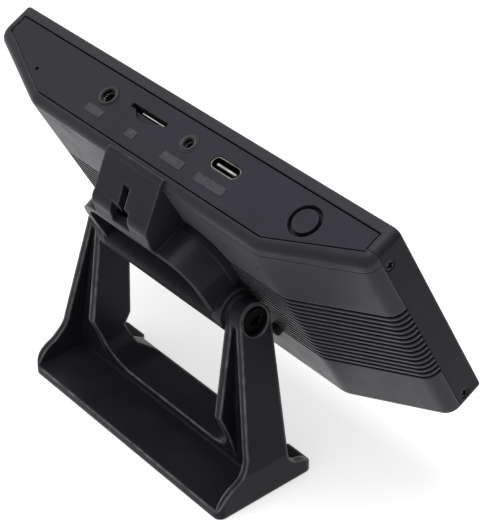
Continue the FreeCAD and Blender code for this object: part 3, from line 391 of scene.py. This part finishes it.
def case_material():
    return moulded_plastic(
        "case_plastic", dark=(0.015, 0.0148, 0.018), light=(0.022, 0.0216, 0.026), edge=(0.045, 0.045, 0.052),
        rough=(0.3, 0.42), grain_mm=0.35, grain_depth=0.012, edge_mm=0.45, specular=0.2, sheen=0.36,
        zone=seam_zone, zone_colour=(0.003, 0.003, 0.004), zone_specular=0.02)


def stand_material():
    # the pale edge colour is mostly a painted highlight on the rounded edges of the legs and base
    return moulded_plastic(
        "stand_plastic", dark=(0.0145, 0.0138, 0.0185), light=(0.0205, 0.0196, 0.0255),
        edge=(0.28, 0.279, 0.29), rough=(0.28, 0.4), grain_mm=0.45, grain_depth=0.01, edge_mm=1,
        specular=0.1, sheen=0.02)


def rubber_material():
    return moulded_plastic(
        "rubber", dark=(0.010, 0.010, 0.011), light=(0.018, 0.018, 0.018), edge=(0.03, 0.03, 0.03),
        rough=(0.7, 0.85), grain_mm=0.6, grain_depth=0.04, edge_mm=0.2, specular=0.25)


def moulding_material():
    return moulded_plastic(
        "black_moulding", dark=(0.009, 0.009, 0.01), light=(0.014, 0.014, 0.015), edge=(0.03, 0.03, 0.032),
        rough=(0.3, 0.42), grain_mm=0.25, grain_depth=0.008, edge_mm=0.12, specular=0.5)


def panel_material():
    """Port panel: charcoal with a faint violet cast, a fine slanted hatch and paler label plates."""
    material, tree, shader = new_material("panel_plastic")
    soft = rounded_normal(tree, radius_mm=0.2)
    wear_and_highlight = edge_share(tree, soft)
    cloud = between(tree, noise(tree, size_mm=18, detail=4), 0, 1)
    colour = mixed(tree, cloud, first=(0.018, 0.0165, 0.022), second=(0.025, 0.023, 0.03))
    # lighter edge colour: partly wear, partly a painted highlight along the rounded edges
    worn_and_edge_lit = mixed(tree, wear_and_highlight, first=colour, second=(0.06, 0.056, 0.064))
    plate_low = (PANEL_TOP + LABEL_LOW) * MM
    plate_high = (PANEL_TOP + LABEL_HIGH) * MM
    raised = between(tree, upright_place(tree)["Z"], 0, 1, start=plate_low, stop=plate_high)
    flecks = between(tree, noise(tree, size_mm=0.7, detail=3), 0, 1)
    plate = mixed(tree, flecks, first=(0.04, 0.037, 0.044), second=(0.075, 0.072, 0.08))
    tree.links.new(mixed(tree, raised, worn_and_edge_lit, plate), shader.inputs["Base Color"])
    hatch = add_node(tree, "TexWave", wave_type="BANDS", bands_direction="DIAGONAL", wave_profile="SIN")
    hatch.inputs["Scale"].default_value = HATCH_SCALE
    hatch.inputs["Distortion"].default_value = 0
    tree.links.new(object_place(tree), hatch.inputs["Vector"])
    pressed = bumped(tree, hatch.outputs["Fac"], depth_mm=0.006, normal=soft)
    grained = bumped(tree, noise(tree, size_mm=0.3, detail=3), depth_mm=0.012, normal=pressed)
    tree.links.new(grained, shader.inputs["Normal"])
    patches = noise(tree, size_mm=5, detail=5)
    tree.links.new(between(tree, patches, low=0.45, high=0.58), shader.inputs["Roughness"])
    shader.inputs["Specular IOR Level"].default_value = 0.2
    shader.inputs["Specular Tint"].default_value = COOL_TINT
    return material


# lens, metals, board and thin sheets

def lens_material():
    """Glossy black cover lens; the lit field behind it shows a little bluer than the printed border."""
    material, tree, shader = new_material("cover_lens")
    smudge = between(tree, noise(tree, size_mm=14, detail=6), low=0.03, high=0.1)
    tree.links.new(smudge, shader.inputs["Roughness"])
    cloud = between(tree, noise(tree, size_mm=40, detail=2), 0, 1)
    border = mixed(tree, cloud, first=(0.003, 0.003, 0.0035), second=(0.005, 0.005, 0.0055))
    field = mixed(tree, cloud, first=(0.009, 0.01, 0.013), second=(0.012, 0.0135, 0.017))
    place = upright_place(tree)
    across = within(tree, place["X"], FIELD_HALF_WIDTH, FIELD_FADE)
    lit = both(tree, across, within(tree, place["Z"], FIELD_HALF_HEIGHT, FIELD_FADE))
    tree.links.new(mixed(tree, lit, border, field), shader.inputs["Base Color"])
    shader.inputs["Coat Weight"].default_value = 0.6
    shader.inputs["Coat Roughness"].default_value = 0.03
    return material


def metal_material(name, dark, light, rough, brush_mm=0.5):
    """Metal with fine scratches and a cloudy tarnish."""
    material, tree, shader = new_material(name)
    soft = rounded_normal(tree, radius_mm=0.08)
    tarnish = between(tree, noise(tree, size_mm=2.5, detail=5), 0, 1)
    tree.links.new(mixed(tree, tarnish, dark, light), shader.inputs["Base Color"])
    scratches = noise(tree, brush_mm, detail=6)
    tree.links.new(between(tree, scratches, rough[0], rough[1]), shader.inputs["Roughness"])
    tree.links.new(bumped(tree, scratches, depth_mm=0.004, normal=soft), shader.inputs["Normal"])
    shader.inputs["Metallic"].default_value = 1
    return material


def board_material():
    """Solder-mask green with the paler lines of copper under it."""
    material, tree, shader = new_material("board")
    bricks = add_node(tree, "TexBrick")
    bricks.inputs["Scale"].default_value = BOARD_SCALE
    bricks.inputs["Color1"].default_value = (0.012, 0.075, 0.03, 1)
    bricks.inputs["Color2"].default_value = (0.010, 0.06, 0.026, 1)
    bricks.inputs["Mortar"].default_value = (0.03, 0.16, 0.06, 1)
    tree.links.new(object_place(tree), bricks.inputs["Vector"])
    tree.links.new(bricks.outputs["Color"], shader.inputs["Base Color"])
    patches = noise(tree, size_mm=4, detail=4)
    tree.links.new(between(tree, patches, low=0.3, high=0.45), shader.inputs["Roughness"])
    tree.links.new(bumped(tree, bricks.outputs["Fac"], depth_mm=0.02), shader.inputs["Normal"])
    return material


def sheet_material(name, dark, light, rough, grain_mm):
    """Thin films, ribbons, washers and diffusers."""
    material, tree, shader = new_material(name)
    cloud = between(tree, noise(tree, grain_mm, detail=4), 0, 1)
    tree.links.new(mixed(tree, cloud, dark, light), shader.inputs["Base Color"])
    patches = noise(tree, grain_mm / GLOSS_PER_GRAIN, detail=4)
    tree.links.new(between(tree, patches, rough[0], rough[1]), shader.inputs["Roughness"])
    bumps = noise(tree, grain_mm / BUMPS_PER_GRAIN, detail=3)
    tree.links.new(bumped(tree, bumps, depth_mm=0.01), shader.inputs["Normal"])
    return material


# which material each node takes

def paint(material, *names):
    for name in names:
        piece = nodes[name]
        piece.data.materials.clear()
        piece.data.materials.append(material)


def paint_mouldings(moulding):
    paint(case_material(), "rear_cover", "top_cap")
    paint(frame_material(), "front_frame")
    paint(panel_material(), "port_panel", "power_button")
    paint(stand_material(), "stand_frame")
    paint(yoke_material(), "tilt_yoke")
    paint(rubber_material(), "base_pad", "rear_bumpers")
    paint(moulding, "aux_jack", "av_jack", "card_reader", "usb_c_tongue", "power_switch", "speaker")


def paint_metals():
    steel = metal_material(
        "plated_steel", dark=(0.3, 0.3, 0.31), light=(0.46, 0.46, 0.46), rough=(0.22, 0.38))
    paint(steel, "microphone", "base_weight")
    shell = metal_material(
        "socket_shell", dark=(0.07, 0.068, 0.066), light=(0.3, 0.29, 0.28), rough=(0.18, 0.3), brush_mm=0.8)
    paint(shell, "usb_c_shell")
    screw = metal_material(
        "black_screw", dark=(0.018, 0.018, 0.02), light=(0.04, 0.04, 0.044), rough=(0.25, 0.42))
    paint(screw, "side_screws", "board_screws", "yoke_screws")
    # pivot screws: black, darkened well past the other screws as painted shade of the deep recess they sit in
    shade_darkened_black = metal_material(
        "shade_darkened_black_screw", dark=(0.003, 0.003, 0.0035), light=(0.006, 0.006, 0.007), rough=(0.55, 0.7))
    paint(shade_darkened_black, "pivot_screws")
    brass = metal_material(
        "brass", dark=(0.55, 0.38, 0.14), light=(0.72, 0.52, 0.22), rough=(0.25, 0.4))
    paint(brass, "pivot_inserts")
    bracket = metal_material(
        "bracket_sheet", dark=(0.6, 0.6, 0.61), light=(0.74, 0.74, 0.74), rough=(0.3, 0.45))
    paint(bracket, "panel_bracket")


def paint_board_and_sheets():
    paint(board_material(), "main_board")
    glass = sheet_material(
        "display_glass", dark=(0.012, 0.012, 0.016), light=(0.02, 0.02, 0.026), rough=(0.1, 0.2), grain_mm=12)
    paint(glass, "lcd_panel")
    guide = sheet_material(
        "light_guide", dark=(0.72, 0.73, 0.74), light=(0.8, 0.8, 0.8), rough=(0.35, 0.5), grain_mm=9)
    paint(guide, "backlight")
    ribbon = sheet_material(
        "ribbon", dark=(0.35, 0.14, 0.03), light=(0.48, 0.2, 0.05), rough=(0.35, 0.5), grain_mm=5)
    paint(ribbon, "display_cable")
    fibre = sheet_material(
        "fibre_washer", dark=(0.02, 0.02, 0.022), light=(0.032, 0.032, 0.034), rough=(0.5, 0.7), grain_mm=1.5)
    paint(fibre, "friction_washers")


# small details in the ports, drawn in the upright display's millimetres

def box_into(shape, low, high):
    corners = [
        shape.verts.new((x, y, z))
        for z in (low[2], high[2])
        for y in (low[1], high[1])
        for x in (low[0], high[0])]
    for face in ((0, 2, 3, 1), (4, 5, 7, 6), (0, 1, 5, 4), (2, 6, 7, 3), (0, 4, 6, 2), (1, 3, 7, 5)):
        shape.faces.new([corners[i] for i in face])


def sleeve_into(shape, across, back, inner, outer, low, high, steps=40):
    """Upright tube with an inner and an outer radius."""
    turns = [2 * math.pi * step / steps for step in range(steps)]
    rings = []
    for radius, level in ((inner, low), (inner, high), (outer, high), (outer, low)):
        rings.append([
            shape.verts.new((across + radius * math.cos(turn), back + radius * math.sin(turn), level))
            for turn in turns])
    for i, first in enumerate(rings):
        second = rings[(i + 1) % len(rings)]
        for step in range(steps):
            after = (step + 1) % steps
            shape.faces.new((first[step], second[step], second[after], first[after]))


def ring_into(shape, across, back, radius, section_radius, level, steps=48, sides=12):
    """Round ring lying level; radius runs to the middle of its section."""
    section = [2 * math.pi * side / sides for side in range(sides)]
    rows = []
    for step in range(steps):
        turn = 2 * math.pi * step / steps
        rows.append([
            shape.verts.new((
                across + (radius + section_radius * math.cos(angle)) * math.cos(turn),
                back + (radius + section_radius * math.cos(angle)) * math.sin(turn),
                level + section_radius * math.sin(angle)))
            for angle in section])
    for step, row in enumerate(rows):
        after = rows[(step + 1) % steps]
        for side in range(sides):
            up = (side + 1) % sides
            face = shape.faces.new((row[side], after[side], after[up], row[up]))
            face.smooth = True


def add_piece(name, shape, material):
    bmesh.ops.recalc_face_normals(shape, faces=shape.faces)
    place = display_matrix()
    for vertex in shape.verts:
        vertex.co = (place @ vertex.co) * MM
    mesh = bpy.data.meshes.new(name)
    shape.to_mesh(mesh)
    shape.free()
    mesh.materials.append(material)
    piece = bpy.data.objects.new(name, mesh)
    scene.collection.objects.link(piece)
    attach(piece, "display")


def make_usb_contacts(material):
    """Contact strips on both faces of the tongue, and the metal strip at its tip."""
    low, high = upright_box("usb_c_tongue")
    across = (low.x + high.x) / 2
    back = (low.y + high.y) / 2
    shape = bmesh.new()
    for strip in range(CONTACT_COUNT):
        middle = across + (strip - (CONTACT_COUNT - 1) / 2) * CONTACT_PITCH
        for side in (1, -1):
            face = back + side * TONGUE_THICK / 2
            skin = sorted((face, face + side * CONTACT_THICK))
            box_into(shape,
                     (middle - CONTACT_WIDTH / 2, skin[0], high.z - CONTACT_LENGTH - CONTACT_SET_DOWN),
                     (middle + CONTACT_WIDTH / 2, skin[1], high.z - CONTACT_SET_DOWN))
    box_into(shape,
             (across - TONGUE_TIP_WIDTH / 2, back - TONGUE_TIP_THICK / 2, high.z),
             (across + TONGUE_TIP_WIDTH / 2, back + TONGUE_TIP_THICK / 2, high.z + CONTACT_THICK))
    add_piece("usb_contacts", shape, material)


def make_card_spring(material):
    """Metal leaf of the card reader, seen along the rear of the slot."""
    rear = CARD_PLACE[1] + CARD_SLOT_THICK / 2 - CARD_SPRING_GAP
    shape = bmesh.new()
    box_into(shape,
             (CARD_PLACE[0] - CARD_SPRING_END, rear - CARD_SPRING_THICK, PANEL_TOP - CARD_SPRING_REACH),
             (CARD_PLACE[0] + CARD_SPRING_START, rear, PANEL_TOP - CARD_SPRING_SINK))
    add_piece("card_spring", shape, material)


def make_jack_sleeves(material):
    """Metal sleeve down the bore of each jack."""
    for jack, ((across, back), bore) in JACKS.items():
        shape = bmesh.new()
        outer = bore / 2 - SLEEVE_GAP
        sleeve_into(shape, across, back, outer - SLEEVE_WALL, outer,
                    PANEL_TOP - SLEEVE_REACH, PANEL_TOP - SLEEVE_SINK)
        add_piece(jack + "_sleeve", shape, material)


def make_jack_lips(material):
    """Rounded lip moulded round the mouth of each jack."""
    for jack, ((across, back), bore) in JACKS.items():
        shape = bmesh.new()
        ring_into(shape, across, back, bore / 2 + LIP_GAP + LIP_RADIUS, LIP_RADIUS, PANEL_TOP + LIP_SEAT)
        add_piece(jack + "_lip", shape, material)


def make_port_details(moulding):
    nickel = metal_material(
        "nickel", dark=(0.3, 0.29, 0.275), light=(0.62, 0.6, 0.57), rough=(0.18, 0.32), brush_mm=0.3)
    make_usb_contacts(nickel)
    make_card_spring(nickel)
    make_jack_sleeves(nickel)
    make_jack_lips(moulding)


# floor, light and camera

def camera_rays(tree):
    return add_node(tree, "LightPath").outputs["Is Camera Ray"]


def mirror_rays(tree):
    """1 for rays that see a surface mirrored or through something clear."""
    light_path = add_node(tree, "LightPath")
    return larger(tree, light_path.outputs["Is Glossy Ray"], light_path.outputs["Is Transmission Ray"])


def make_floor():
    """Pale floor that keeps the shadow and reads as white where it is seen."""
    mesh = bpy.data.meshes.new("floor")
    half = FLOOR_HALF
    level = -FLOOR_DROP * MM
    corners = [(-half, -half, level), (half, -half, level), (half, half, level), (-half, half, level)]
    mesh.from_pydata(corners, [], [(0, 1, 2, 3)])
    floor = bpy.data.objects.new("floor", mesh)
    scene.collection.objects.link(floor)
    material, tree, shader = new_material("floor")
    shader.inputs["Roughness"].default_value = FLOOR_ROUGHNESS
    shader.inputs["Specular IOR Level"].default_value = 0
    shader.inputs["Emission Color"].default_value = (*WHITE, 1)
    mirrored = mirror_rays(tree)
    tree.links.new(mixed(tree, mirrored, FLOOR_COLOUR, BLACK), shader.inputs["Base Color"])
    seen = between(tree, camera_rays(tree), 0, FLOOR_SEEN_GLOW, start=0, stop=1)
    tree.links.new(larger(tree, seen, mirrored), shader.inputs["Emission Strength"])
    mesh.materials.append(material)


def make_world():
    """White where it is seen; for the light on the object a dim studio, lighter above than below."""
    world = bpy.data.worlds.new("studio")
    world.use_nodes = True
    scene.world = world
    tree = world.node_tree
    background = tree.nodes["Background"]
    toward = add_node(tree, "VectorMath", operation="DOT_PRODUCT")
    tree.links.new(add_node(tree, "TexCoord").outputs["Generated"], toward.inputs[0])
    toward.inputs[1].default_value = FILL_FROM
    fill = between(tree, toward.outputs["Value"], FILL_LOW, FILL_HIGH, start=-FILL_SPREAD, stop=FILL_SPREAD)
    strength = add_node(tree, "MapRange")
    tree.links.new(fill, strength.inputs["To Min"])
    strength.inputs["To Max"].default_value = 1
    tree.links.new(larger(tree, camera_rays(tree), mirror_rays(tree)), strength.inputs["Value"])
    tree.links.new(strength.outputs["Result"], background.inputs["Strength"])
    background.inputs["Color"].default_value = (*WHITE, 1)


def make_lamp():
    """Wide soft lamp high above the part."""
    light = bpy.data.lights.new("top_lamp", "AREA")
    light.shape = "DISK"
    light.size = LAMP_SIZE
    light.energy = LAMP_POWER
    lamp = bpy.data.objects.new("top_lamp", light)
    lamp.location = LAMP_PLACE
    lamp.rotation_euler = (Vector(LAMP_AIM) - Vector(LAMP_PLACE)).to_track_quat("-Z", "Y").to_euler()
    scene.collection.objects.link(lamp)


def make_camera():
    azimuth = math.radians(VIEW_AZIMUTH)
    elevation = math.radians(VIEW_ELEVATION)
    roll = math.radians(VIEW_ROLL)
    level_share = math.cos(elevation)
    back = Vector((math.sin(azimuth) * level_share, -math.cos(azimuth) * level_share, math.sin(elevation)))
    level_right = Vector((math.cos(azimuth), math.sin(azimuth), 0))
    level_up = back.cross(level_right)
    right = level_right * math.cos(roll) + level_up * math.sin(roll)
    up = back.cross(right)
    data = bpy.data.cameras.new("camera")
    data.lens = LENS_MM
    camera = bpy.data.objects.new("camera", data)
    place = AIM + back * VIEW_DISTANCE
    camera.matrix_world = Matrix((
        (right.x, up.x, back.x, place.x),
        (right.y, up.y, back.y, place.y),
        (right.z, up.z, back.z, place.z),
        (0, 0, 0, 1)))
    scene.collection.objects.link(camera)
    scene.camera = camera


scene.view_settings.view_transform = "Standard"
black_moulding = moulding_material()
paint_mouldings(black_moulding)
paint(lens_material(), "cover_lens")
paint_metals()
paint_board_and_sheets()
make_port_details(black_moulding)
make_floor()
make_world()
make_lamp()
make_camera()
